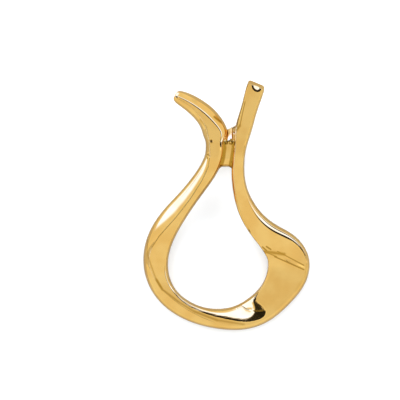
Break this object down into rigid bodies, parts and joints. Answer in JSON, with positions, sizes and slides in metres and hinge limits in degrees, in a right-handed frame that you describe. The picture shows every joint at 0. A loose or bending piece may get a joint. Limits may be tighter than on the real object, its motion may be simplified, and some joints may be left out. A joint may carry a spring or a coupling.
{
  "type": "slide pendant",
  "caption": "Open teardrop slide pendant: one polished gold ribbon whose arms cross over close to each other above a hidden ring bail.",
  "frame": {"origin": "centre of the pendant's box in plan, on the plane that its back rests on", "axes": "+Y to the top of the pendant, where the two tips are; +Z out of its front; +X to the right as seen from the front"},
  "size_m": [0.0173, 0.026, 0.0049],
  "materials": {
    "polished_gold": "high polish"
  },
  "bodies": {
    "root": {"slide_pendant": "polished_gold"}
  },
  "joints": []
}
